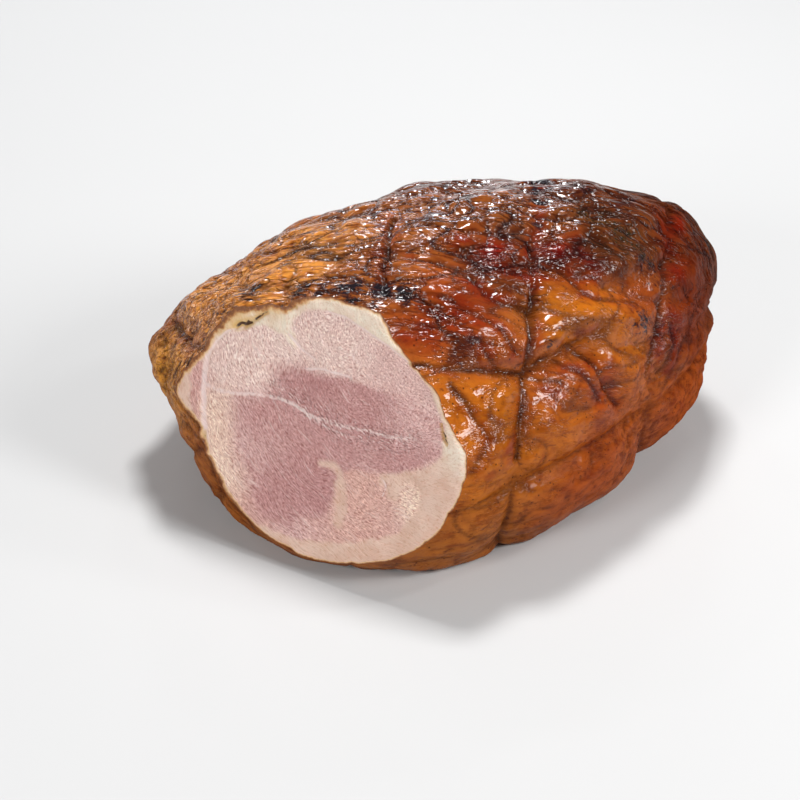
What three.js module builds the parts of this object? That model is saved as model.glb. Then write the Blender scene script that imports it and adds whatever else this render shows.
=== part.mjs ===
// Roast pork shoulder: one boned, tied and roasted joint with its near left end carved off.
// Millimetres, +Z up. X runs along the joint, and it rests on a flat base at Z = 0.
import * as THREE from 'three';

// ---- the uncarved joint, measured from its middle ----
const HALF_LENGTH = 140;
const HALF_WIDTH = 108;
const CROWN = 89; // height above the widest level
const BELLY = 75; // the depth it would have below that level if it weren't resting
const BASE_DROP = 46; // the flat base lies this far below the widest level
const LONG_POWER = 2.47; // 2 is an ellipse, more is squarer
const GIRTH_POWER = 1.95;
const WIDTH_TAPER = -0.23; // share of the width lost towards the right end
const CROWN_TAPER_LONG = -0.01;
const CROWN_TAPER_WIDE = -0.14; // the far side is lower than the near side
const END_OVERHANG = 0.2; // the right end leans out towards its top

// ---- the carved face ----
const CUT_AZIMUTH = -150; // degrees from +X: it faces left and near
const CUT_TILT = 20.5; // degrees upwards
const CUT_DISTANCE = 106.7;
// Its uneven outline: degrees round from the near side, then millimetres out from the foot of CUT_DISTANCE.
const CUT_OUTLINE = [
  [-168, 98], [-158, 87], [-138, 84], [-122, 83.5], [-100, 81], [-75, 77], [-45, 75], [-30, 72],
  [-13, 69], [-4, 65], [1, 58], [10, 51], [20, 48], [33, 44], [43, 41], [52, 40.5],
  [67, 41], [74, 45.5], [81, 48.5], [102, 48], [113, 51], [124, 54], [134, 56], [139, 55],
  [144, 61], [152, 68], [157, 75], [164, 77], [171, 80], [177, 82], [184, 90], [188, 93],
];
const CUT_EASE = 14; // the crust settles to that outline over this distance

// ---- where the joint's middle stands from the part's origin ----
const MIDDLE = new THREE.Vector3(-1.9, -0.9, BASE_DROP);

// ---- strings, now gone, and the pillows they left ----
const RING_AXIS = new THREE.Vector3(0.84, -0.53, -0.11).normalize();
const RING_PITCH = 70;
const FIRST_RING = -110;
const RING_WANDER = 2.5;
const GIRTH_STRINGS = [
  { girth: 108, lean: 0.28 },
  { girth: 139, lean: 0.1 },
  { girth: 178, lean: -0.05 },
  { girth: 222, lean: 0 },
  { girth: 270, lean: 0 },
  { girth: 318, lean: 0 },
  { girth: 362, lean: 0.05 },
  { girth: 400, lean: 0.1 },
  { girth: 434, lean: 0.2 },
];
const PILLOW_RISE = 4;
const PILLOW_EDGE = 13;
const PILLOW_MEAN = 0.55; // the share of the rise that the smooth joint already has
const GROOVE_DEPTH = 1.8;
const GROOVE_WIDTH = 4.5;
const SLACK_SIDE = 40; // the strings bit least beyond this Y, on the far side
const TAUT_SIDE = -80; // and most on this side of this Y
const SLACK_BITE = 0.3;

// ---- swells and hollows of the whole form ----
const SWELLS = [
  { at: [-122, 74, 13], rise: 8, reach: 24 }, // far left corner
  { at: [-133, 52, -15], rise: -5, reach: 24 }, // tucked in below that corner
  { at: [-131, 0, -37], rise: 4, reach: 20 }, // foot of the carved end
  { at: [-60, 80, 53], rise: -1.5, reach: 24 }, // far left shoulder
  { at: [16, 60, 67], rise: 4, reach: 32 }, // far crest
  { at: [106, 20, 70], rise: -8, reach: 20 }, // between the crest and the right end
  { at: [132, -6, 56], rise: 3, reach: 16 }, // top of the right end
];

// ---- deep creases between the pillows, each a run of points on the crust ----
const CREASES = [
  { run: [[-66, -74, 66], [-43, -84, 62], [-12, -91, 54]], depth: 3, width: 6 },
  { run: [[-12, -91, 54], [11, -86, 56], [34, -81, 57]], depth: 2.5, width: 6 },
  { run: [[19, -84, 57], [26, -88, 49], [37, -97, 23]], depth: 3, width: 6 },
  { run: [[-17, -43, 86], [-12, -61, 78], [3, -69, 73]], depth: 2.5, width: 6 },
  { run: [[-117, 81, 23], [-125, 51, 33], [-129, 23, 40]], depth: 4, width: 7 },
];

// ---- folds of the rind, drawn out along the joint ----
const FOLD_LENGTH = 34;
const FOLD_WIDTH = 11;
const FOLD_RISE = 1.8;
const LUMP_SIZE = 42;
const LUMP_RISE = 2.4;
const FOLD_SEED = 5;
const LUMP_SEED = 9;
const WANDER_SEED = 3;

// ---- mesh ----
const ROW_STEP = 6.1;
const COLUMN_STEP = 5.7;
const BASE_STRETCH = 0.34; // columns are closer together on the crown than underneath
const FACE_STEP = 14;

const CRUST_COLOUR = 0x9a5a20;
const CRUST_ROUGHNESS = 0.42;

const cutAzimuth = THREE.MathUtils.degToRad(CUT_AZIMUTH);
const cutTilt = THREE.MathUtils.degToRad(CUT_TILT);
const cutNormal = new THREE.Vector3(
  Math.cos(cutAzimuth) * Math.cos(cutTilt),
  Math.sin(cutAzimuth) * Math.cos(cutTilt),
  Math.sin(cutTilt),
);
const cutAcross = new THREE.Vector3(0, 0, 1).cross(cutNormal).normalize();
const cutUp = new THREE.Vector3().crossVectors(cutNormal, cutAcross);

// One value from 0 to 1 for each corner of a lattice of cubes.
function latticeValue(ix, iy, iz, seed) {
  let h = Math.imul(ix, 0x27d4eb2d) + Math.imul(iy, 0x165667b1);
  h = (h + Math.imul(iz, 0x1b873593) + Math.imul(seed, 0x5bd1e995)) | 0;
  h = Math.imul(h ^ (h >>> 15), 0x2c1b3c6d);
  h = Math.imul(h ^ (h >>> 12), 0x297a2d39);
  return ((h ^ (h >>> 15)) >>> 0) / 4294967296;
}

const fade = (t) => t * t * t * (t * (t * 6 - 15) + 10);
const mix = (a, b, t) => a + (b - a) * t;
const bell = (distance, width) => Math.exp(-((distance / width) ** 2));

// Smooth noise from -1 to 1.
function noise(x, y, z, seed) {
  const ix = Math.floor(x);
  const iy = Math.floor(y);
  const iz = Math.floor(z);
  const fx = fade(x - ix);
  const fy = fade(y - iy);
  const layer = (dz) => {
    const near = mix(latticeValue(ix, iy, iz + dz, seed), latticeValue(ix + 1, iy, iz + dz, seed), fx);
    const far = mix(latticeValue(ix, iy + 1, iz + dz, seed), latticeValue(ix + 1, iy + 1, iz + dz, seed), fx);
    return mix(near, far, fy);
  };
  return 2 * mix(layer(0), layer(1), fade(z - iz)) - 1;
}

// The direction at an opening angle from the carved face's normal and a turn about it.
function direction(opening, turn) {
  return new THREE.Vector3()
    .addScaledVector(cutNormal, Math.cos(opening))
    .addScaledVector(cutAcross, Math.sin(opening) * Math.cos(turn))
    .addScaledVector(cutUp, Math.sin(opening) * Math.sin(turn));
}

// Distance from the joint's middle to the smooth uncarved crust, along a direction.
function crustRadius(d) {
  const even = Math.hypot(d.x / HALF_LENGTH, d.y / HALF_WIDTH, d.z / CROWN);
  const along = d.x / HALF_LENGTH / even;
  const aside = d.y / HALF_WIDTH / even;
  const above = d.z / CROWN / even;
  const length = HALF_LENGTH * (d.x > 0 ? 1 + END_OVERHANG * above : 1);
  const width = HALF_WIDTH * (1 + WIDTH_TAPER * along);
  const crown = CROWN * (1 + CROWN_TAPER_LONG * along + CROWN_TAPER_WIDE * aside);
  const height = d.z > 0 ? crown : BELLY;
  const girth = (Math.abs(d.y / width) ** GIRTH_POWER + Math.abs(d.z / height) ** GIRTH_POWER) ** (1 / GIRTH_POWER);
  return (Math.abs(d.x / length) ** LONG_POWER + girth ** LONG_POWER) ** (-1 / LONG_POWER);
}

function distanceToRun(p, run) {
  let best = Infinity;
  const line = new THREE.Line3();
  const foot = new THREE.Vector3();
  for (let i = 1; i < run.length; i++) {
    line.start.fromArray(run[i - 1]);
    line.end.fromArray(run[i]);
    line.closestPointToPoint(p, true, foot);
    best = Math.min(best, foot.distanceTo(p));
  }
  return best;
}

function ringDistance(p) {
  const wander = RING_WANDER * noise(p.x / LUMP_SIZE, p.y / LUMP_SIZE, p.z / LUMP_SIZE, WANDER_SEED);
  const turns = (p.dot(RING_AXIS) + wander - FIRST_RING) / RING_PITCH;
  return Math.abs(turns - Math.round(turns)) * RING_PITCH;
}

function girthStringDistance(p) {
  const girth = THREE.MathUtils.radToDeg(Math.atan2(p.z / CROWN, p.y / HALF_WIDTH));
  const radius = Math.hypot(p.y, p.z);
  const along = p.dot(RING_AXIS);
  let best = Infinity;
  for (const string of GIRTH_STRINGS) {
    const turn = girth - string.girth - string.lean * along;
    const apart = Math.abs(turn - 360 * Math.round(turn / 360));
    best = Math.min(best, THREE.MathUtils.degToRad(apart) * radius);
  }
  return best;
}

// How hard the strings bit: hardest on the near side.
function bite(p) {
  const tautness = fade(THREE.MathUtils.clamp((SLACK_SIDE - p.y) / (SLACK_SIDE - TAUT_SIDE), 0, 1));
  return mix(SLACK_BITE, 1, tautness);
}

// Height of the carved face's edge over the smooth joint, at each corner of its outline.
const rimPushes = CUT_OUTLINE.map(([turn, radius]) => {
  const smooth = crustRadius(direction(Math.atan2(radius, CUT_DISTANCE), THREE.MathUtils.degToRad(turn)));
  return Math.hypot(radius, CUT_DISTANCE) - smooth;
});

// That height at a point, by its turn about the carved face's normal.
function rimPush(p) {
  const first = CUT_OUTLINE[0][0];
  const turn = THREE.MathUtils.radToDeg(Math.atan2(p.dot(cutUp), p.dot(cutAcross)));
  const place = first + THREE.MathUtils.euclideanModulo(turn - first, 360);
  let next = CUT_OUTLINE.findIndex(([corner]) => corner > place);
  if (next < 0) next = CUT_OUTLINE.length;
  const from = CUT_OUTLINE[next - 1][0];
  const to = next < CUT_OUTLINE.length ? CUT_OUTLINE[next][0] : first + 360;
  return mix(rimPushes[next - 1], rimPushes[next % CUT_OUTLINE.length], (place - from) / (to - from));
}

// Height of the crust over the smooth joint at a point of it.
function relief(p) {
  const ring = ringDistance(p);
  const string = girthStringDistance(p);
  const pillow = (1 - bell(ring, PILLOW_EDGE)) * (1 - bell(string, PILLOW_EDGE)) - PILLOW_MEAN;
  const groove = Math.max(bell(ring, GROOVE_WIDTH), bell(string, GROOVE_WIDTH));
  let height = bite(p) * (PILLOW_RISE * pillow - GROOVE_DEPTH * groove);
  for (const crease of CREASES) {
    height -= crease.depth * bell(distanceToRun(p, crease.run), crease.width);
  }
  const drawnOut = p.dot(RING_AXIS) / FOLD_LENGTH;
  height += FOLD_RISE * noise(drawnOut, p.y / FOLD_WIDTH, p.z / FOLD_WIDTH, FOLD_SEED);
  for (const swell of SWELLS) {
    height += swell.rise * bell(p.distanceTo(new THREE.Vector3(...swell.at)), swell.reach);
  }
  height += LUMP_RISE * noise(p.x / LUMP_SIZE, p.y / LUMP_SIZE, p.z / LUMP_SIZE, LUMP_SEED);
  return mix(height, rimPush(p), bell(p.dot(cutNormal) - CUT_DISTANCE, CUT_EASE));
}

// Distance to the finished crust or, underneath, to the flat base.
function reach(d) {
  const smooth = crustRadius(d);
  const crust = smooth + relief(d.clone().multiplyScalar(smooth));
  return d.z < 0 ? Math.min(crust, BASE_DROP / -d.z) : crust;
}

// The opening angle at which the crust meets the carved face.
function cutOpening(turn) {
  let inside = 0;
  let outside = Math.PI / 2;
  for (let i = 0; i < 30; i++) {
    const opening = (inside + outside) / 2;
    if (reach(direction(opening, turn)) * Math.cos(opening) > CUT_DISTANCE) inside = opening;
    else outside = opening;
  }
  return (inside + outside) / 2;
}

// Columns crowd together on the crown, where the relief shows.
const turnOf = (share) => 2 * Math.PI * share + BASE_STRETCH * Math.cos(2 * Math.PI * share);

// The smooth crust's line from the carved face to the rear, as opening angles at even steps of its length.
function meridian(turn, rows) {
  const fine = 160;
  const start = cutOpening(turn);
  const openings = [start];
  const lengths = [0];
  let last = null;
  for (let i = 0; i <= fine; i++) {
    const opening = mix(start, Math.PI, i / fine);
    const d = direction(opening, turn);
    const lowest = d.z < 0 ? BASE_DROP / -d.z : Infinity;
    const point = d.multiplyScalar(Math.min(crustRadius(d), lowest));
    if (last) {
      openings.push(opening);
      lengths.push(lengths[i - 1] + point.distanceTo(last));
    }
    last = point;
  }
  const even = [];
  let at = 1;
  for (let row = 0; row < rows; row++) {
    const length = (lengths[fine] * row) / rows;
    while (lengths[at] < length) at++;
    even.push(mix(openings[at - 1], openings[at], (length - lengths[at - 1]) / (lengths[at] - lengths[at - 1])));
  }
  return { openings: even, length: lengths[fine] };
}

const points = [];
const triangles = [];

function addPoint(p) {
  points.push(p.x, p.y, p.z);
  return points.length / 3 - 1;
}

// Joins two closed rings of vertices that run the same way round.
function joinRings(outer, inner) {
  let i = 0;
  let j = 0;
  while (i < outer.length || j < inner.length) {
    const a = outer[i % outer.length];
    const b = inner[j % inner.length];
    if (j >= inner.length || (i < outer.length && (i + 0.5) / outer.length <= (j + 0.5) / inner.length)) {
      i += 1;
      triangles.push(a, outer[i % outer.length], b);
    } else {
      j += 1;
      triangles.push(a, inner[j % inner.length], b);
    }
  }
}

function closeRing(ring, middle) {
  for (let i = 0; i < ring.length; i++) triangles.push(ring[i], ring[(i + 1) % ring.length], middle);
}

function ringCount(perimeter, step) {
  return Math.max(8, Math.round(perimeter / step));
}

// The crust, as rings of vertices from the carved edge to the rear.
function buildCrust() {
  const guideCount = 48;
  const guides = [];
  let longest = 0;
  for (let i = 0; i < guideCount; i++) longest = Math.max(longest, meridian(turnOf(i / guideCount), 2).length);
  const rows = Math.round(longest / ROW_STEP);
  for (let i = 0; i < guideCount; i++) guides.push(meridian(turnOf(i / guideCount), rows).openings);
  const openingAt = (share, row) => {
    const place = share * guideCount;
    const from = Math.floor(place) % guideCount;
    return mix(guides[from][row], guides[(from + 1) % guideCount][row], place - Math.floor(place));
  };
  const pointAt = (opening, turn) => {
    const d = direction(opening, turn);
    return d.multiplyScalar(reach(d));
  };
  const rings = [];
  for (let row = 0; row < rows; row++) {
    const outline = [];
    for (let i = 0; i <= guideCount; i++) {
      const share = (i % guideCount) / guideCount;
      outline.push(pointAt(openingAt(share, row), turnOf(share)));
    }
    let perimeter = 0;
    for (let i = 0; i < guideCount; i++) perimeter += outline[i].distanceTo(outline[i + 1]);
    const count = ringCount(perimeter, COLUMN_STEP);
    const ring = [];
    for (let i = 0; i < count; i++) {
      const turn = turnOf(i / count);
      const opening = row === 0 ? cutOpening(turn) : openingAt(i / count, row);
      ring.push(addPoint(pointAt(opening, turn)));
    }
    rings.push(ring);
  }
  for (let row = 1; row < rows; row++) joinRings(rings[row], rings[row - 1]);
  const rear = addPoint(pointAt(Math.PI, 0));
  closeRing([...rings[rows - 1]].reverse(), rear);
  return rings[0];
}

// The flat carved face inside its edge.
function buildCutFace(edge) {
  const middle = cutNormal.clone().multiplyScalar(CUT_DISTANCE);
  const edgePoints = edge.map((index) => new THREE.Vector3().fromArray(points, 3 * index));
  const meanRadius = edgePoints.reduce((sum, p) => sum + p.distanceTo(middle), 0) / edge.length;
  const steps = Math.round(meanRadius / FACE_STEP);
  let outer = edge;
  for (let step = steps - 1; step > 0; step--) {
    const count = ringCount(2 * Math.PI * meanRadius * (step / steps), FACE_STEP);
    const inner = [];
    for (let i = 0; i < count; i++) {
      const place = (i / count) * edge.length;
      const from = Math.floor(place);
      const rim = edgePoints[from].clone().lerp(edgePoints[(from + 1) % edge.length], place - from);
      inner.push(addPoint(rim.lerp(middle, 1 - step / steps)));
    }
    joinRings(outer, inner);
    outer = inner;
  }
  closeRing(outer, addPoint(middle));
}

buildCutFace(buildCrust());

const geometry = new THREE.BufferGeometry();
geometry.setAttribute('position', new THREE.Float32BufferAttribute(points, 3));
geometry.setIndex(triangles);
geometry.translate(MIDDLE.x, MIDDLE.y, MIDDLE.z);
geometry.computeVertexNormals();

const crust = new THREE.MeshStandardMaterial({
  color: CRUST_COLOUR,
  roughness: CRUST_ROUGHNESS,
  metalness: 0,
});
const roast = new THREE.Mesh(geometry, crust);
roast.name = 'roast_joint';

const group = new THREE.Group();
group.add(roast);
export default group;
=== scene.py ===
"""Roast pork shoulder: a boned, tied and roasted joint with its near left end carved off."""

import math

import bpy
import numpy as np
from mathutils import Matrix


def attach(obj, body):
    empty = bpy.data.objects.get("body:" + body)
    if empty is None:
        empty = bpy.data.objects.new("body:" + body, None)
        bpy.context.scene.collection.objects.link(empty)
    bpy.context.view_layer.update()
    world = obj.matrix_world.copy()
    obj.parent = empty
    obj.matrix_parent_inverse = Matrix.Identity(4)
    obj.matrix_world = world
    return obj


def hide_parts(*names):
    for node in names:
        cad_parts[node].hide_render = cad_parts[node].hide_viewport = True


MM = 0.001


def unit(vector):
    return vector / np.linalg.norm(vector)


def heading(turn, rise):
    """A unit direction, from its turn about the vertical and its rise over the level."""
    return np.array([math.cos(turn) * math.cos(rise), math.sin(turn) * math.cos(rise), math.sin(rise)])


# ---- the uncarved joint in millimetres, measured from its middle ----
HALF_LENGTH = 140.0
HALF_WIDTH = 108.0
CROWN = 89.0
BELLY = 75.0
BASE_DROP = 46.0
LONG_POWER = 2.47
GIRTH_POWER = 1.95
WIDTH_TAPER = -0.23
CROWN_TAPER_LONG = -0.01
CROWN_TAPER_WIDE = -0.14
END_OVERHANG = 0.2
MIDDLE = np.array([-1.9, -0.9, BASE_DROP])  # from the part's origin

# ---- the carved face ----
CUT_AZIMUTH = math.radians(-150)
CUT_TILT = math.radians(20.5)
CUT_DISTANCE = 106.7
CUT_NORMAL = heading(CUT_AZIMUTH, CUT_TILT)
CUT_ACROSS = unit(np.cross([0, 0, 1], CUT_NORMAL))
CUT_UP = np.cross(CUT_NORMAL, CUT_ACROSS)
# Its outline: degrees round from the near side, then millimetres out from the foot of CUT_DISTANCE.
CUT_OUTLINE = np.array([
    [-168, 98], [-158, 87], [-138, 84], [-122, 83.5], [-100, 81], [-75, 77], [-45, 75], [-30, 72],
    [-13, 69], [-4, 65], [1, 58], [10, 51], [20, 48], [33, 44], [43, 41], [52, 40.5],
    [67, 41], [74, 45.5], [81, 48.5], [102, 48], [113, 51], [124, 54], [134, 56], [139, 55],
    [144, 61], [152, 68], [157, 75], [164, 77], [171, 80], [177, 82], [184, 90], [188, 93],
])
CUT_EASE = 14.0

# ---- the strings' marks and the pillows between them ----
RING_AXIS = unit(np.array([0.84, -0.53, -0.11]))
RING_SIDE = unit(np.cross([0, 0, 1], RING_AXIS))
RING_TOP = np.cross(RING_AXIS, RING_SIDE)
RING_PITCH = 70.0
FIRST_RING = -110.0
RING_WANDER = 2.5
GIRTH_STRINGS = [  # girth angle in degrees, and how it leans along the joint
    (108, 0.28), (139, 0.1), (178, -0.05), (222, 0), (270, 0),
    (318, 0), (362, 0.05), (400, 0.1), (434, 0.2),
]
PILLOW_RISE = 4.0
PILLOW_EDGE = 13.0
PILLOW_MEAN = 0.55
GROOVE_DEPTH = 1.8
GROOVE_WIDTH = 4.5
SLACK_SIDE = 40.0
TAUT_SIDE = -80.0
SLACK_BITE = 0.3

# ---- swells and hollows of the whole form: place, rise and reach ----
SWELLS = [
    ((-122, 74, 13), 8, 24),
    ((-133, 52, -15), -5, 24),
    ((-131, 0, -37), 4, 20),
    ((-60, 80, 53), -1.5, 24),
    ((16, 60, 67), 4, 32),
    ((106, 20, 70), -8, 20),
    ((132, -6, 56), 3, 16),
]

# ---- broad creases between the pillows: run, depth and width ----
CREASES = [
    ([(-66, -74, 66), (-43, -84, 62), (-12, -91, 54)], 3, 6),
    ([(-12, -91, 54), (11, -86, 56), (34, -81, 57)], 2.5, 6),
    ([(19, -84, 57), (26, -88, 49), (37, -97, 23)], 3, 6),
    ([(-17, -43, 86), (-12, -61, 78), (3, -69, 73)], 2.5, 6),
    ([(-117, 81, 23), (-125, 51, 33), (-129, 23, 40)], 4, 7),
]
FOLD_LENGTH = 34.0
FOLD_WIDTH = 11.0
FOLD_RISE = 1.8
LUMP_SIZE = 42.0
LUMP_RISE = 2.4
FOLD_SEED = 5
LUMP_SEED = 9
WANDER_SEED = 3

# ---- the rind's own folds: size along the joint and round it, then a seed ----
PADS = ((30, 11, 11), 46)
SMALL_PADS = ((15, 6.5, 6.5), 47)
SHORT_CRESTS = ((17, 3.6, 3.6), 42)
PINCHES = ((20, 3.6, 3.6), 43)
BLISTERS = ((10, 9, 8), 44)
FOLD_MEAN = 0.45
PAD_RISE = (1.3, 2.3)  # where the rind is taut, and where it is slack
SMALL_PAD_RISE = (0.5, 1.2)
BLISTER_RISE = (1.2, 0.3)
CREST_RISE = 1.3
PINCH_RISE = 0.9
KNOB_RISE = 0.7
RING_REACH = 9.0
RIM_REACH = 9.0
RIM_CALM = 0.45  # how much lower the folds are at the carved face

# ---- how the folds lie: they gather towards the joint's ends ----
GIRTH_RADIUS = 85.0
GATHERED_SHARE = 0.65
RING_LENGTH = 118.0

# ---- where the rind goes from taut to slack, and from dry to wet ----
SLACK_ASIDE = (-62, -8)
SLACK_UP = (-12, 38)
LOW_SLACK = 0.25
WET_UP = (0, 54)
LOW_WET = 0.3
DRY_ALONG = (62, 92)
END_DRYNESS = 0.8
LEAN = 0.25  # the limits aside and along move this much with height

# ---- sharp marks that the strings cut into the rind: run, depth, width and darkness ----
STRING_MARKS = [
    ([(-21, 23, 84), (-39, -3, 88), (-50, -19, 87), (-60, -33, 84)], 2.4, 1.6, 0.9),
    ([(61, 22, 80), (23, -39, 85), (3, -70, 72), (-10, -89, 56), (-13, -91, 54), (-22, -102, 37),
      (-29, -109, 20)], 3.0, 1.8, 1.0),
    ([(118, -16, 67), (93, -52, 63), (82, -68, 52), (77, -75, 44), (59, -89, 28)], 2.2, 1.7, 0.9),
    ([(-47, -10, 87), (-26, -31, 88), (0, -44, 85), (15, -52, 81), (40, -59, 74), (50, -64, 69),
      (65, -67, 62), (78, -67, 55)], 1.0, 1.4, 0.5),
    ([(-66, -74, 66), (-43, -84, 62), (-20, -90, 56), (-12, -91, 54), (-2, -88, 56), (11, -86, 56),
      (22, -83, 57), (34, -81, 57)], 1.9, 1.6, 0.9),
]
MARK_LIP = 0.35  # the rind stands up beside a mark by this share of its depth
FAR_MARK = (1.4, 1.7, 0.6)  # depth, width and darkness of the marks on the sides away from the view

# ---- narrower creases of the rind: run, depth and width ----
FINE_CREASES = [
    ([(-13, -92, 52), (4, -95, 45)], 1.4, 1.5),
    ([(19, -84, 57), (26, -88, 49), (33, -96, 27), (37, -97, 23)], 1.6, 1.8),
    ([(-17, -43, 86), (-16, -55, 81), (-12, -61, 78), (3, -69, 73)], 1.5, 1.6),
    ([(-117, 81, 23), (-125, 51, 33), (-129, 23, 40)], 2.0, 1.8),
    ([(-38, -52, 82), (-30, -62, 78), (-18, -74, 71), (-13, -83, 63)], 1.3, 1.6),
    ([(-47, -48, 82), (-38, -63, 77), (-31, -77, 68), (-27, -88, 58)], 1.2, 1.7),
    ([(-53, -87, 59), (-48, -96, 48), (-42, -105, 34), (-54, -108, 24)], 1.2, 1.8),
    ([(7, -88, 54), (20, -94, 41), (24, -98, 31)], 1.2, 1.8),
    ([(80, -68, 53), (85, -74, 38), (80, -80, 31), (72, -85, 23)], 1.5, 1.8),
    ([(28, -53, 80), (35, -65, 71), (40, -70, 67), (64, -70, 59)], 1.2, 1.6),
    ([(-93, 85, 40), (-93, 67, 51), (-82, 61, 59), (-75, 43, 70)], 1.6, 1.8),
]

# ---- places on the near side that are finely folded too: place, reach and strength ----
FOLDED = [
    ((-42, -60, 76), 20, 0.85), ((-20, -74, 70), 12, 0.6), ((8, -62, 74), 14, 0.7),
    ((60, -68, 60), 12, 0.5), ((78, -78, 38), 16, 0.6), ((104, -58, 44), 18, 0.6),
    ((34, -94, 30), 12, 0.4),
]

# ---- colours of the crust, in sRGB out of 255 ----
RIND = (150, 84, 34)
BASE_SHARE = 0.12
HONEY = (162, 86, 14)
AMBER = (164, 88, 24)
COPPER = (150, 72, 24)
RUST = (140, 60, 20)
MAHOGANY = (104, 32, 10)
CHESTNUT = (140, 76, 30)
# the left end's tan and olive rind: partly its own colour, partly painted light, made lighter to stand in
# for light falling on that end
TOFFEE_AND_PAINTED_LIGHT = (208, 134, 58)
OLIVE_AND_PAINTED_LIGHT = (200, 134, 52)
UMBER = (76, 30, 12)
CRUST_TONES = [  # colour, then the places that have it, each with its reach
    (OLIVE_AND_PAINTED_LIGHT, [((-131, 48, 23), 18)]),
    (TOFFEE_AND_PAINTED_LIGHT, [((-122, 35, 46), 18), ((-106, 48, 54), 20), ((-89, 44, 65), 20), ((-76, 16, 78), 18),
        ((-96, 14, 71), 14), ((-56, 30, 79), 18)]),
    (CHESTNUT, [((-21, 23, 84), 22), ((4, 0, 89), 22), ((26, -1, 88), 18), ((-57, -42, 82), 13),
        ((-59, -7, 85), 16)]),
    (RUST, [((20, -106, -8), 26), ((80, -88, -8), 26), ((116, -56, -8), 26), ((0, 104, 0), 34),
        ((-56, -58, 77), 11), ((-38, -52, 82), 14), ((-35, -70, 73), 13), ((64, -70, 57), 13),
        ((26, -96, 34), 18)]),
    (COPPER, [((-22, -80, 67), 12), ((0, -98, 42), 16), ((51, -92, 24), 18)]),
    (MAHOGANY, [((5, -35, 87), 14), ((35, -50, 80), 14), ((112, -56, 42), 20), ((-26, -58, 81), 12),
        ((98, -66, 34), 16)]),
    (UMBER, [((72, -2, 84), 24), ((126, 0, 40), 28), ((30, 40, 78), 26), ((68, -40, 79), 16),
        ((112, -33, 65), 24), ((76, -80, 35), 10), ((-2, -46, 84), 12), ((136, -24, 40), 28),
        ((3, -1, 90), 15), ((25, -3, 90), 18), ((118, -48, 36), 24), ((7, -33, 85), 10)]),
    (HONEY, [((27, -73, 67), 15), ((42, -80, 57), 15), ((-38, -102, 40), 20)]),
    (AMBER, [((49, -84, 46), 15), ((54, -86, 36), 14), ((-51, -90, 55), 15), ((-43, -106, 30), 20),
        ((-3, -104, 26), 18)]),
]
# painted shade: this dark brown is laid into the rind's creases and fold valleys, and it is also the
# strings' dark char along their marks
CREASE_SHADE_AND_MARK_CHAR = (38, 13, 12)
SPECK_BROWN = (40, 18, 12)
GLAZE_RED = (118, 14, 8)
CHAR_BROWN = (64, 26, 22)
CHAR_BLACK = (24, 22, 28)
HERB_BROWN = (70, 44, 18)
LEAF_GREEN = (34, 30, 16)
GLAZE_BY_CREASES = 0.6

# ---- char and glaze on the crust: place, reach and strength ----
CHAR = [
    ((-100, 18, 68), 8, 0.7), ((-88, -6, 77), 9, 0.9), ((-80, -15, 80), 8, 0.8), ((-71, -24, 82), 8, 0.9),
    ((-60, -34, 84), 8, 1.0), ((-53, -41, 83), 7, 1.0), ((-68, -41, 80), 7, 0.8), ((-41, -76, 69), 7, 0.9),
    ((-32, -75, 70), 5, 0.7), ((63, -75, 52), 6, 1.0), ((83, -63, 58), 6, 0.8), ((73, -54, 69), 7, 0.8),
    ((81, -56, 65), 7, 0.8), ((30, 24, 83), 8, 0.7), ((40, 22, 83), 8, 0.8), ((-8, -86, 59), 4, 0.8),
    ((6, -80, 63), 5, 0.7), ((-110, 30, 60), 8, 0.4), ((60, 10, 82), 10, 0.6), ((85, -20, 78), 10, 0.6),
    ((61, 22, 80), 7, 0.9), ((52, 8, 83), 6, 0.9), ((43, -6, 85), 6, 0.9), ((33, -22, 86), 4, 0.7),
    ((-72, -35, 83), 6, 0.7), ((-64, -38, 82), 6, 0.8), ((70, 0, 84), 12, 0.5), ((92, -14, 76), 12, 0.5),
]
GLAZE = [
    ((-11, -20, 89), 8, 0.8), ((2, -31, 88), 9, 1.0), ((33, -45, 83), 9, 1.0), ((45, -53, 77), 8, 1.0),
    ((42, -44, 82), 8, 0.7), ((-53, -60, 77), 9, 0.7), ((-62, -61, 75), 7, 0.6), ((95, -55, 58), 9, 0.6),
    ((108, -30, 68), 10, 0.5), ((-30, -58, 79), 8, 0.5), ((22, -98, 36), 8, 0.4),
]
HERBS = [
    ((64, -33, 82), 12, 1.0), ((69, -43, 77), 10, 1.0), ((77, -49, 72), 9, 1.0), ((60, -25, 85), 10, 0.8),
    ((138, -23, 43), 9, 0.9),
]

# ---- the carved face's own plan: millimetres across and up from its foot ----
MEAT_OUTLINE = [
    (-78, 2), (-75, 10), (-70, 16), (-62, 20.5), (-55, 24), (-48, 24.5), (-41, 23), (-36, 19.5),
    (-33, 19), (-35, 24), (-38.5, 28), (-36, 33), (-30, 38.5), (-20, 40.5), (-10, 40.5), (0, 38),
    (10, 35), (20, 31.5),
    (28, 28), (36, 22.5), (43, 15), (49, 8), (51.5, 1), (52, -5), (52, -11), (48, -16), (44, -20), (40, -24),
    (46, -32), (45, -42), (36, -54), (18, -64), (0, -70), (-20, -73.5), (-40, -71), (-53, -64), (-64, -54),
    (-71, -46), (-74, -37.5), (-76.5, -29), (-78, -20), (-79.4, -10),
]
DARK_MUSCLE = [
    (-43, 3), (-36, 7.5), (-24, 10.5), (-10, 12.5), (6, 13), (20, 12), (34, 10), (44, 7), (50, 0), (51, -8),
    (48, -15), (43, -20.5), (34, -25), (24, -28), (12, -29), (5, -31), (2, -38), (0, -48), (-6, -60),
    (-20, -70), (-36, -70), (-46, -60), (-55, -48), (-61, -34), (-64, -22), (-60, -14), (-50, -10),
    (-42, -3),
]
DARK_SOFT_LEFT = 9.0  # the dark muscle's edge fades out over this far on the left
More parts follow.
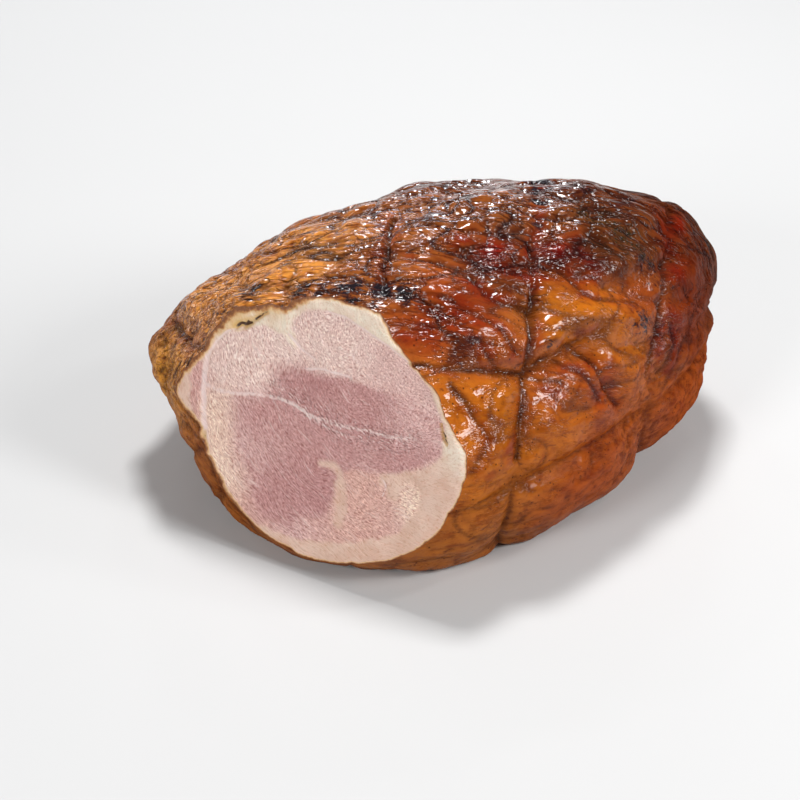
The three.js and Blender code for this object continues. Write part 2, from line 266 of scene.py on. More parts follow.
DARK_SOFT_RIGHT = 2.5
DARK_SOFT_TOP = 5.0
DARK_TOP_CORNER = (34, 9)
STRIP_MUSCLE = [
    (-86, -1), (-80.5, -1), (-79.5, -12), (-78.5, -25), (-76.5, -35), (-80, -31), (-84, -24), (-87, -12),
]
SMALL_MUSCLE = [
    (3, -38), (5, -33), (10, -30.5), (18, -29.5), (25, -31), (27, -36), (23, -44), (14, -51), (5, -50),
]
FAT_VEINS = [  # run and half-width
    ([(46, -22), (36, -26), (29, -28.5), (25, -30)], 2.6),
    ([(33, -29), (31, -35)], 3.4),
    ([(3, -39), (4.5, -46), (6, -52), (5, -58)], 2.6),
    ([(-9, -32), (-3, -31), (2, -34), (3, -39)], 1.5),
]
SEAMS = [  # run and half-width
    ([(-78, -12), (-71, -13.5), (-60, -12), (-50, -9.5), (-40, -8), (-30, -8), (-19, -11), (-10, -11.5),
      (0, -11), (10, -10), (25, -9), (37.5, -6)], 0.75),
    ([(-30, -8), (-19, -12.5), (-8, -14.5), (6, -15)], 0.45),
    ([(-79.4, 3), (-79.6, -10), (-77.5, -20), (-75.6, -29), (-73, -37.5), (-70.6, -45)], 1.2),
    ([(-26, 10.3), (-18, 12.3), (-10, 13), (-2, 13)], 0.55),
    ([(-38, 24), (-30, 19), (-22, 16)], 0.55),
    ([(28, 28), (20, 31.5), (10, 35), (0, 38), (-10, 40.5), (-20, 40.5)], 0.4),
    ([(-79, 2), (-75.5, 10.5), (-70.5, 16.5), (-62, 21)], 0.6),
    ([(24, -29), (27, -33), (26, -38)], 0.4),
]
CRACKS = [  # run and half-width
    ([(-67, 20), (-64.5, 22), (-62.5, 21.5), (-60.5, 24), (-58.8, 24.4)], 0.62),
    ([(-57.5, 25.8), (-55, 28.5), (-52, 31)], 0.5),
    ([(-74.5, -36), (-73.5, -40), (-71.5, -45)], 0.45),
    ([(-40, 36.5), (-36, 38.2)], 0.3),
    ([(49, 5), (51, 0), (54, -4)], 0.3),
    ([(28, 28.5), (30.5, 30.5)], 0.4),
]
CRACK_DEPTH = 2.0
SEAM_DEPTH = 0.4
PIT_DEPTH = 0.8
FAT_RISE = 0.3
MOIST_RUN = [(-40, -4), (-30, -5), (-20, -8), (0, -13), (20, -12), (36, -8)]
MOIST_REACH = 6.0
MEAT = (210, 166, 160)
BLUSH = (232, 201, 190)
ROSE = (218, 178, 170)
SAND = (236, 203, 182)
SALMON = (214, 166, 152)
MAUVE = (188, 134, 130)
WINE = (180, 124, 121)
FACE_TONES = [
    (BLUSH, [((-62, 8), 16), ((-40, 16), 14), ((-15, 24), 14), ((-50, -2), 10), ((0, 28), 12)]),
    (ROSE, [((12, 24), 14), ((25, 20), 14), ((44, 6), 10)]),
    (SAND, [((-68, -30), 12), ((-64, -50), 14), ((44, -33), 10)]),
    (SALMON, [((-42, -66), 10), ((14, -40), 14), ((16, -60), 14)]),
]
DARK_TONES = [
    (WINE, [((-22, 5), 12), ((-14, -46), 14)]),
    (MAUVE, [((8, 5), 14), ((-45, -18), 12), ((-10, -20), 16), ((30, -16), 12), ((-34, -54), 14)]),
    (MEAT, [((34, 3), 12), ((-52, -34), 12)]),
]
SUET = (234, 210, 190)
SUET_TONES = [
    ((240, 226, 208), [((-46, 28), 14), ((-10, 44), 16), ((12, 40), 10), ((60, -8), 8)]),
    ((228, 196, 138), [((-66, 22), 5), ((-48, 35), 6), ((16, 44), 5)]),
    ((222, 188, 170), [((50, -26), 14), ((30, -60), 30), ((-30, -75), 30), ((-88, -14), 16)]),
]
CREEP = [  # how far the rind's brown creeps into the fat: run, width and reach
    ([(-92, -2), (-84, 14), (-70, 28), (-50, 38), (-38, 43)], 6.5, 9),
    ([(-34, 45), (-14, 46), (4, 45)], 1.9, 6),
    ([(14, 46), (18, 42)], 3.0, 5),
    ([(-90, -14), (-80, -34), (-66, -52), (-52, -66)], 2.4, 8),
]
CREEP_LEAST = 1.1
RIM_BROWNS = [  # where each brown begins and is full, in shares of the creep, then its strength
    ((1.15, 0.5), 0.8, (222, 182, 128)),
    ((0.7, 0.3), 0.9, (176, 112, 50)),
    ((0.38, 0.1), 0.9, (120, 66, 28)),
]
STRIP_PINK = (198, 146, 138)
THREAD_WHITE = (238, 212, 204)
SEAM_WHITE = (234, 208, 202)
FLECK_WHITE = (236, 212, 206)
PIT_ROSE = (136, 88, 82)
CRACK_OCHRE = (212, 168, 96)
CRACK_BROWN = (74, 44, 18)
COLOUR_FIELDS = ("tone", "suet")
FARTHEST = 6.0  # the rim, seams and cracks are looked for up to this many of their own widths
FIBRE_MIDDLE = np.array([60, 90])  # the muscles' fibres run round this place
FIBRE_RADIUS = 110.0

# ---- mesh ----
ROW_STEP = 1.42
COLUMN_STEP = 1.55
FEWEST_COLUMNS = 10
BASE_STRETCH = 0.45  # columns are closer together on the crown than underneath
DENSE_TURN = math.radians(75)
GUIDES = 120
GUIDE_STEPS = 240
HALVINGS = 26
FACE_RINGS = 74
FACE_STEP = 0.92
FEWEST_SPOKES = 8

# ---- soft boxes that face the joint: direction, size in metres and power in watts ----
BACK_AWAY = 1.4
BACK_BOXES = [
    ((0.6, 0.75, 0.28), (0.16, 0.05), 0.6),
    ((0.3, 0.85, 0.22), (0.2, 0.05), 0.9),
    ((0.48, 0.87, 0.08), (0.3, 0.04), 1.2),
    ((0.02, 0.95, 0.3), (0.2, 0.06), 0.9),
    ((-0.3, 0.92, 0.24), (0.3, 0.07), 1.3),
    ((-0.55, 0.83, 0.1), (0.3, 0.07), 1.3),
    ((0.45, 0.65, 0.6), (0.14, 0.06), 0.5),
    ((0.12, 0.75, 0.65), (0.14, 0.06), 0.5),
]
FRONT_AWAY = 1.3
FRONT_BOXES = [
    ("top_box", (0.2, 0.3, 0.93), (0.26, 0.26), 16),
    ("front_box", (0.415, -0.72, 0.56), (0.4, 0.36), 11),
    ("right_box", (0.68, -0.36, 0.64), (0.12, 0.2), 2.2),
    ("left_box", (-0.9, -0.45, 0.55), (0.4, 0.4), 8),
]
BOX_TARGET = np.array([0, 0, 0.06])
WHITE = (1, 1, 1)
COOL_WHITE = (0.95, 0.97, 1.0)
WORLD_STRENGTH = 0.08
FLOOR_SIDE = 12
FLOOR_GREY = (0.56, 0.56, 0.56)

# ---- the view ----
VIEW_HEADING = math.radians(60)
VIEW_DOWN = math.radians(34)
FORWARD = heading(VIEW_HEADING, -VIEW_DOWN)
RIGHT = unit(np.cross(FORWARD, [0, 0, 1]))
LENS = 150.0
SENSOR = 36.0
PICTURE_SIDE = 800
PIXEL = 0.5  # millimetres at the joint's middle
MIDDLE_COLUMN = 451.6
MIDDLE_ROW = 369.5


# ======== shape ========

def fade(t):
    return t * t * t * (t * (t * 6 - 15) + 10)


def mix(a, b, t):
    return a + (b - a) * t


def bell(distance, width):
    return np.exp(-((distance / width) ** 2))


def ramp(value, low, high):
    return fade(np.clip((value - low) / (high - low), 0, 1))


def lattice_value(ix, iy, iz, seed):
    """One value from 0 to 1 for each corner of a lattice of cubes."""
    u = np.uint32
    h = ix * u(0x27D4EB2D) + iy * u(0x165667B1) + iz * u(0x1B873593) + u(seed * 0x5BD1E995 & 0xFFFFFFFF)
    h = (h ^ (h >> u(15))) * u(0x2C1B3C6D)
    h = (h ^ (h >> u(12))) * u(0x297A2D39)
    return (h ^ (h >> u(15))).astype(float) / 4294967296


def noise(q, seed):
    """Smooth noise from -1 to 1 at points whose lattice cells are unit cubes."""
    cell = np.floor(q)
    f = fade(q - cell)
    low = cell.astype(np.int64).astype(np.uint32)
    high = low + np.uint32(1)
    value = 0
    for dx, x in ((1 - f[:, 0], low[:, 0]), (f[:, 0], high[:, 0])):
        for dy, y in ((1 - f[:, 1], low[:, 1]), (f[:, 1], high[:, 1])):
            for dz, z in ((1 - f[:, 2], low[:, 2]), (f[:, 2], high[:, 2])):
                value = value + dx * dy * dz * lattice_value(x, y, z, seed)
    return 2 * value - 1


def wobble(p, size, seeds):
    """Smooth noise in as many directions as there are seeds."""
    return np.column_stack([noise(p / size, seed) for seed in seeds])


def place_distance(p, place):
    return np.linalg.norm(p - np.array(place, float), axis=1)


def crust_radius(d):
    """Distance from the middle to the smooth uncarved crust, along unit directions."""
    x, y, z = d.T
    even = np.sqrt((x / HALF_LENGTH) ** 2 + (y / HALF_WIDTH) ** 2 + (z / CROWN) ** 2)
    along, aside, above = x / HALF_LENGTH / even, y / HALF_WIDTH / even, z / CROWN / even
    length = HALF_LENGTH * np.where(x > 0, 1 + END_OVERHANG * above, 1)
    width = HALF_WIDTH * (1 + WIDTH_TAPER * along)
    crown = CROWN * (1 + CROWN_TAPER_LONG * along + CROWN_TAPER_WIDE * aside)
    height = np.where(z > 0, crown, BELLY)
    girth = (np.abs(y / width) ** GIRTH_POWER + np.abs(z / height) ** GIRTH_POWER) ** (1 / GIRTH_POWER)
    return (np.abs(x / length) ** LONG_POWER + girth**LONG_POWER) ** (-1 / LONG_POWER)


def base_distance(d):
    """Distance from the middle to the flat base, along unit directions: endless for those that rise."""
    return np.where(d[:, 2] < 0, BASE_DROP / np.maximum(-d[:, 2], 1e-9), np.inf)


def smooth_points(d):
    """Points of the smooth joint on its flat base, along unit directions."""
    return d * np.minimum(crust_radius(d), base_distance(d))[:, None]


def closed(ring):
    return np.vstack((ring, ring[:1]))


def run_distance(p, run):
    """Distance from points to a run of straight pieces."""
    best = np.full(len(p), np.inf)
    corners = np.array(run, float)
    for start, end in zip(corners[:-1], corners[1:]):
        along = end - start
        t = np.clip((p - start) @ along / (along @ along), 0, 1)
        best = np.minimum(best, np.linalg.norm(p - start - t[:, None] * along, axis=1))
    return best


def inside_distance(p, outline):
    """Distance in from a closed outline: positive inside it, negative outside."""
    corners = np.array(outline, float)
    inside = np.zeros(len(p), bool)
    for (ax, ay), (bx, by) in zip(corners, np.roll(corners, -1, axis=0)):
        crosses = (p[:, 1] < ay) != (p[:, 1] < by)
        reach = ax + (p[:, 1] - ay) * (bx - ax) / (by - ay if by != ay else 1)
        inside ^= crosses & (p[:, 0] < reach)
    away = run_distance(p, closed(corners))
    return np.where(inside, away, -away)


def ring_distance(p):
    turns = (p @ RING_AXIS + RING_WANDER * noise(p / LUMP_SIZE, WANDER_SEED) - FIRST_RING) / RING_PITCH
    return np.abs(turns - np.round(turns)) * RING_PITCH


def girth_string_distance(p):
    girth = np.degrees(np.arctan2(p[:, 2] / CROWN, p[:, 1] / HALF_WIDTH))
    radius = np.hypot(p[:, 1], p[:, 2])
    along = p @ RING_AXIS
    best = np.full(len(p), np.inf)
    for angle, lean in GIRTH_STRINGS:
        turn = girth - angle - lean * along
        best = np.minimum(best, np.radians(np.abs(turn - 360 * np.round(turn / 360))) * radius)
    return best


def direction(opening, turn):
    """Unit directions at an opening angle from the carved face's normal and a turn about it."""
    opening, turn = np.broadcast_arrays(opening, turn)
    return (
        np.cos(opening)[:, None] * CUT_NORMAL
        + (np.sin(opening) * np.cos(turn))[:, None] * CUT_ACROSS
        + (np.sin(opening) * np.sin(turn))[:, None] * CUT_UP
    )


def rim_pushes():
    """Height of the carved face's edge over the smooth joint, at each corner of its outline."""
    turn, radius = np.radians(CUT_OUTLINE[:, 0]), CUT_OUTLINE[:, 1]
    smooth = crust_radius(direction(np.arctan2(radius, CUT_DISTANCE), turn))
    return np.hypot(radius, CUT_DISTANCE) - smooth


RIM_PUSHES = rim_pushes()


def rim_push(p):
    turn = np.degrees(np.arctan2(p @ CUT_UP, p @ CUT_ACROSS))
    first = CUT_OUTLINE[0, 0]
    place = first + (turn - first) % 360
    return np.interp(place, [*CUT_OUTLINE[:, 0], first + 360], [*RIM_PUSHES, RIM_PUSHES[0]])


def form_relief(p):
    """Height of the crust over the smooth joint: pillows, broad creases, folds and swells."""
    ring = ring_distance(p)
    string = girth_string_distance(p)
    pillow = (1 - bell(ring, PILLOW_EDGE)) * (1 - bell(string, PILLOW_EDGE)) - PILLOW_MEAN
    groove = np.maximum(bell(ring, GROOVE_WIDTH), bell(string, GROOVE_WIDTH))
    bite = mix(SLACK_BITE, 1, ramp(-p[:, 1], -SLACK_SIDE, -TAUT_SIDE))
    height = bite * (PILLOW_RISE * pillow - GROOVE_DEPTH * groove)
    for run, depth, width in CREASES:
        height -= depth * bell(run_distance(p, run), width)
    drawn = np.column_stack((p @ RING_AXIS / FOLD_LENGTH, p[:, 1] / FOLD_WIDTH, p[:, 2] / FOLD_WIDTH))
    height += FOLD_RISE * noise(drawn, FOLD_SEED)
    for place, rise, reach in SWELLS:
        height += rise * bell(place_distance(p, place), reach)
    height += LUMP_RISE * noise(p / LUMP_SIZE, LUMP_SEED)
    return mix(height, rim_push(p), bell(p @ CUT_NORMAL - CUT_DISTANCE, CUT_EASE))


def drawn_out(p):
    """Millimetres along the joint and round it, for folds that gather towards its ends."""
    aside, above = p @ RING_SIDE / HALF_WIDTH, p @ RING_TOP / CROWN
    out = np.hypot(aside, above)
    along = RING_LENGTH * np.arctan2(p @ RING_AXIS / RING_LENGTH, out)
    gathered = GIRTH_RADIUS / np.maximum(out, GATHERED_SHARE)
    return np.column_stack((along, gathered * aside, gathered * above))


def billow(q, size, seed):
    """Rounded folds with sharp valleys between them, from 0 in a valley to about 1."""
    return np.abs(noise(q / np.array(size), seed)) ** 0.8


def crest(q, size, seed):
    """Pinched crests with hollows between them, from 1 on a crest down to about 0."""
    return (1 - np.abs(noise(q / np.array(size), seed))) ** 2.4


def spots(p, places):
    """Strength of a set of soft spots at points."""
    value = np.zeros(len(p))
    for place, reach, strength in places:
        value = np.maximum(value, strength * bell(place_distance(p, place), reach))
    return value


def slackness(p):
    """1 where the rind is slack and finely folded, on the crown and the far side, and 0 on the near side."""
    high = mix(LOW_SLACK, 1, ramp(p[:, 2], *SLACK_UP))
    far = ramp(p[:, 1] + LEAN * p[:, 2], *SLACK_ASIDE)
    return np.maximum(high * far, spots(p, FOLDED))


def wetness(p):
    """1 where the glaze is thick, on the crown and the near side, and less low down and at the right end."""
    dry_end = ramp(p[:, 0] - LEAN * p[:, 2], *DRY_ALONG)
    return mix(LOW_WET, 1, ramp(p[:, 2], *WET_UP)) * (1 - END_DRYNESS * dry_end)


def string_marks(p):
    """Depth of the strings' sharp marks, and their darkness."""
    depth = np.zeros(len(p))
    dark = np.zeros(len(p))
    wander = p + 0.9 * wobble(p, 7, (21, 22, 23))
    broken = np.clip(0.85 + 0.4 * noise(p / 8, 27), 0, 1)
    for run, deep, width, darkness in STRING_MARKS:
        away = run_distance(wander, run)
        lip = bell(away - 2.6 * width, 1.2 * width)
        depth = np.maximum(depth, deep * (bell(away, width) - MARK_LIP * lip))
        dark = np.maximum(dark, darkness * broken * bell(away, 1.2 * width))
    deep, width, darkness = FAR_MARK
    far = np.maximum(1 - ramp(-p @ FORWARD, -30, -8), 1 - ramp(p[:, 2], 2, 20))
    line = far * bell(np.minimum(ring_distance(wander), girth_string_distance(wander)), width)
    return np.maximum(depth, deep * line), np.maximum(dark, darkness * broken * line)


def skin_relief(p):
    """Height of the rind's own folds over the form, and how deep in a crease each point lies."""
    q = drawn_out(p)
    sway = np.column_stack((np.zeros(len(p)), 4 * wobble(p, 24, (31, 32))))
    slack = slackness(p)
    patchy = 0.5 + 0.5 * noise(p / 19, 33)
    by_ring = bell(ring_distance(p), RING_REACH)
    pads = billow(q + 1.3 * sway, *PADS)
    small_pads = billow(q + sway, *SMALL_PADS)
    short_crests = crest(q + 0.6 * sway, *SHORT_CRESTS)
    pinches = billow(q + 0.5 * sway, *PINCHES)
    blisters = billow(p + 0.5 * sway, *BLISTERS)
    bundle = slack * np.clip(1.3 * bell(pads, 0.3) * patchy + 0.5 * bell(small_pads, 0.2), 0, 1)

    height = (
        mix(*PAD_RISE, slack) * (pads - FOLD_MEAN)
        + mix(*SMALL_PAD_RISE, slack) * (small_pads - FOLD_MEAN)
        + CREST_RISE * bundle * (short_crests - 0.5)
        + PINCH_RISE * by_ring * (pinches - FOLD_MEAN)
        + mix(*BLISTER_RISE, slack) * (blisters - FOLD_MEAN)
        + KNOB_RISE * noise(p / 15, 45)
    )
    valley = np.max([
        mix(0.5, 0.95, slack) * bell(pads, 0.12),
        0.75 * slack * bell(small_pads, 0.11),
        0.8 * bundle * ramp(-short_crests, -0.35, -0.05),
        0.5 * by_ring * bell(pinches, 0.16),
        0.25 * (1 - slack) * bell(blisters, 0.12),
    ], axis=0)
    wander = p + 1.2 * wobble(p, 9, (24, 25, 26))
    for run, depth, width in FINE_CREASES:
        away = run_distance(wander, run)
        height -= depth * bell(away, width)
        valley = np.maximum(valley, (0.5 + 0.4 * patchy) * bell(away, width))
    depth, dark = string_marks(p)
    return height - depth, np.maximum(valley, dark)


def reach(d):
    """Distance to the finished crust or, underneath, to the flat base."""
    smooth = crust_radius(d)
    p = d * smooth[:, None]
    near_rim = bell(p @ CUT_NORMAL - CUT_DISTANCE, RIM_REACH)
    crust = smooth + form_relief(p) + skin_relief(p)[0] * (1 - RIM_CALM * near_rim)
    return np.minimum(crust, base_distance(d))


# ======== mesh ========

def turn_of(share):
    return 2 * math.pi * share - BASE_STRETCH * np.sin(2 * math.pi * share - DENSE_TURN)


def cut_opening(turn):
    """The opening angle at which the crust meets the carved face."""
    inside = np.zeros(len(turn))
    outside = np.full(len(turn), math.pi / 2)
    for _ in range(HALVINGS):
        opening = (inside + outside) / 2
        beyond = reach(direction(opening, turn)) * np.cos(opening) > CUT_DISTANCE
        inside = np.where(beyond, opening, inside)
        outside = np.where(beyond, outside, opening)
    return (inside + outside) / 2


def meridian_guides():
    """Openings of every row at even steps from the carved face to the rear, at the guides' turns."""
    turns = turn_of(np.arange(GUIDES) / GUIDES)
    guides, lengths = [], []
    for turn, start in zip(turns, cut_opening(turns)):
        openings = np.linspace(start, math.pi, GUIDE_STEPS)
        points = smooth_points(direction(openings, np.full(GUIDE_STEPS, turn)))
        steps = np.linalg.norm(np.diff(points, axis=0), axis=1)
        gone = np.concatenate(([0], np.cumsum(steps)))
        guides.append((openings, gone))
        lengths.append(gone[-1])
    rows = int(round(max(lengths) / ROW_STEP))
    steps = np.arange(rows)
    even = np.array([np.interp(gone[-1] * steps / rows, gone, openings) for openings, gone in guides])
    return closed(even)


def zip_rings(outer, inner):
    """Triangles between two closed rings of vertices that run the same way round."""
    m, n = len(outer), len(inner)
    keys = np.concatenate(((np.arange(m) + 0.5) / m, (np.arange(n) + 0.5) / n))
    is_outer = np.concatenate((np.ones(m, bool), np.zeros(n, bool)))
    order = np.lexsort((~is_outer, keys))
    is_outer = is_outer[order]
    i = np.concatenate(([0], np.cumsum(is_outer)))[:-1]
    j = np.concatenate(([0], np.cumsum(~is_outer)))[:-1]
    third = np.where(is_outer, outer[(i + 1) % m], inner[(j + 1) % n])
    return np.column_stack((outer[i % m], third, inner[j % n]))


def fan(ring, middle):
    return np.column_stack((ring, np.roll(ring, -1), np.full(len(ring), middle)))


def crust_mesh():
    """Vertices and triangles of the crust, and its first ring, the carved edge."""
    guides = meridian_guides()
    rows = guides.shape[1]
    shares = np.linspace(0, 1, GUIDES + 1)
    points, triangles, rings = [], [], []
    total = 0
    for row in range(rows):
        rough = smooth_points(direction(guides[:, row], turn_of(shares)))
        perimeter = np.linalg.norm(np.diff(rough, axis=0), axis=1).sum()
        number = max(FEWEST_COLUMNS, int(round(perimeter / COLUMN_STEP)))
        share = np.arange(number) / number
        opening = cut_opening(turn_of(share)) if row == 0 else np.interp(share, shares, guides[:, row])
        d = direction(opening, turn_of(share))
        points.append(d * reach(d)[:, None])
        rings.append(np.arange(total, total + number))
        total += number
    for outer, inner in zip(rings[1:], rings[:-1]):
        triangles.append(zip_rings(outer, inner))
    rear = direction(np.array([math.pi]), np.array([0.0]))
    points.append(rear * reach(rear)[:, None])
    triangles.append(fan(rings[-1][::-1], total))
    return np.vstack(points), np.vstack(triangles), rings[0]


def face_plan(p):
    """Places on the carved face, across it and up it, of points near it."""
    return np.column_stack((p @ CUT_ACROSS, p @ CUT_UP))


def flat_points(plan):
    return np.column_stack((plan, np.zeros(len(plan))))


def fibre_coordinates(plan):
    """Millimetres along and across the muscles' fibres."""
    away = plan - FIBRE_MIDDLE
    along = FIBRE_RADIUS * np.arctan2(away[:, 1], away[:, 0])
    across = np.hypot(away[:, 0], away[:, 1]) + 2.2 * noise(flat_points(plan) / 13, 73)
    return np.column_stack((along, across, np.zeros(len(plan))))


def jagged_plan(plan):
    return plan + 0.6 * wobble(flat_points(plan), 2.2, (53, 54))


def moist_zone(plan):
    """1 in the open-textured band along the main seam."""
    return bell(run_distance(plan, MOIST_RUN), MOIST_REACH)


def face_relief(plan, rim):
    """Height of the carved face over its plane: seams, cracks, pits and a soft unevenness."""
    flat = flat_points(plan)
    height = 0.35 * noise(flat / 13, 51) + 0.14 * noise(flat / 4.5, 52)
    height += 0.16 * noise(fibre_coordinates(plan) / np.array([5, 1.9, 1]), 57)
    height += FAT_RISE * (1 - ramp(inside_distance(plan, MEAT_OUTLINE), -1.5, 1.0))
    for run, width in SEAMS:
        height -= SEAM_DEPTH * bell(run_distance(plan, run), 1.6 * width)
    jagged = jagged_plan(plan)
    for run, width in CRACKS:
        height -= CRACK_DEPTH * bell(run_distance(jagged, run), width + 0.4)
    pits = ramp(noise(flat / np.array([2.6, 1.6, 1]), 55), 0.25, 0.8)
    height -= PIT_DEPTH * pits * moist_zone(plan)
    return height * ramp(rim, 0, 3)


def face_mesh(points, edge):
    """Vertices and triangles of the carved face inside its edge."""
    plan_edge = face_plan(points[edge])
    mean_radius = np.linalg.norm(plan_edge, axis=1).mean()
    corners = np.arange(len(edge) + 1)
    plans, triangles = [], []
    total = len(points)
    outer = edge
    for step in range(FACE_RINGS - 1, 0, -1):
        share = step / FACE_RINGS
        number = max(FEWEST_SPOKES, int(round(2 * math.pi * mean_radius * share / FACE_STEP)))
        place = np.arange(number) / number * len(edge)
        ring = np.column_stack([np.interp(place, corners, side) for side in closed(plan_edge).T])
        plans.append(ring * share)
        inner = np.arange(total, total + number)
        triangles.append(zip_rings(outer, inner))
        outer = inner
        total += number
    plans.append(np.zeros((1, 2)))
    triangles.append(fan(outer, total))
    plan = np.vstack(plans)
    height = CUT_DISTANCE + face_relief(plan, run_distance(plan, closed(plan_edge)))
    face_points = plan[:, :1] * CUT_ACROSS + plan[:, 1:] * CUT_UP + height[:, None] * CUT_NORMAL
    return face_points, np.vstack(triangles)


# ======== colours ========

def linear(colour):
    """Linear light from sRGB out of 255."""
    c = np.asarray(colour, float) / 255
    return np.where(c <= 0.04045, c / 12.92, ((c + 0.055) / 1.055) ** 2.4)


def blend_tones(p, tones, base):
    """A soft blend of tones at points, over a base tone."""
    total = np.full(len(p), BASE_SHARE)
    value = np.tile(BASE_SHARE * linear(base), (len(p), 1))
    for colour, places in tones:
        for place, spread in places:
            weight = bell(place_distance(p, place), spread)
            total += weight
            value += weight[:, None] * linear(colour)
    return value / total[:, None]


def crease_halo(p):
    """1 beside the creases and string marks, where the rind browned redder."""
    away = np.full(len(p), np.inf)
    for run, *_ in STRING_MARKS + FINE_CREASES:
        away = np.minimum(away, run_distance(p, run))
    return bell(away, 4.5)


def crust_fields(p):
    """What the crust's finish needs at points of it."""
    smooth = p / np.linalg.norm(p, axis=1)[:, None]
    smooth = smooth * crust_radius(smooth)[:, None]
    warped = p + 5 * wobble(p, 13, (61, 62, 63))
    return {
        "tone": blend_tones(warped, CRUST_TONES, RIND),
        # how deep in a crease each point lies, and the strings' char: the finish paints shade into the
        # creases and char into the marks
        "valley": skin_relief(smooth)[1],
        "char": spots(warped, CHAR),
        "glaze": np.maximum(spots(warped, GLAZE), GLAZE_BY_CREASES * crease_halo(warped)),
        "herb": spots(warped, HERBS),
        "slack": slackness(p),
        "wet": wetness(p),
        "drawn": drawn_out(p),
    }


def least_over(runs, p):
    """Distance to the nearest of a set of runs, in their own half-widths."""
    best = np.full(len(p), FARTHEST)
    for run, width in runs:
        best = np.minimum(best, run_distance(p, run) / width)
    return best


def dark_share(plan, swayed):
    """1 inside the dark muscle and 0 outside it, with its soft edge."""
    soft = mix(DARK_SOFT_RIGHT, DARK_SOFT_LEFT, ramp(-plan[:, 0], 5, 45))
    soft = mix(soft, DARK_SOFT_TOP, bell(place_distance(plan, DARK_TOP_CORNER), 14))
    return fade(np.clip(inside_distance(swayed, DARK_MUSCLE) / soft * 0.5 + 0.5, 0, 1))


def creep_width(plan):
    creep = np.full(len(plan), CREEP_LEAST)
    for run, width, spread in CREEP:
        creep = np.maximum(creep, mix(CREEP_LEAST, width, bell(run_distance(plan, run), spread)))
    return creep


def face_fields(p, edge_points):
    """What the carved face's finish needs at points of it."""
    plan = face_plan(p)
    flat = flat_points(plan)
    rim = run_distance(plan, closed(face_plan(edge_points)))
    warped = plan + 0.9 * wobble(flat, 4, (71, 72))
    swayed = warped + 3 * wobble(flat, 15, (74, 75))
    dark = dark_share(plan, swayed)[:, None]
    strip = ramp(inside_distance(warped, STRIP_MUSCLE), -1.2, 1.0)
    small = ramp(inside_distance(warped, SMALL_MUSCLE), -0.8, 0.8)
    tone = mix(blend_tones(swayed, FACE_TONES, MEAT), blend_tones(swayed, DARK_TONES, MEAT), dark)
    tone = mix(tone, linear(STRIP_PINK), 0.85 * strip[:, None])
    tone = mix(tone, linear(SALMON), 0.7 * small[:, None])
    fat = (1 - ramp(inside_distance(warped, MEAT_OUTLINE), -1.2, 1.4)) * (1 - strip)
    for run, width in FAT_VEINS:
        fat = np.maximum(fat, 0.85 * (1 - ramp(run_distance(warped, run) - width, -1.5, 1.6)))
    return {
        "tone": tone,
        "suet": blend_tones(warped, SUET_TONES, SUET),
        "fat": fat,
        "seam": least_over(SEAMS, plan + 0.35 * (warped - plan)),
        "crack": least_over(CRACKS, jagged_plan(plan)),
        "browned": np.minimum(rim / creep_width(plan), FARTHEST),
        "moist": moist_zone(plan),
        "plan": flat,
        "fibre": fibre_coordinates(plan),
    }


# ======== materials ========

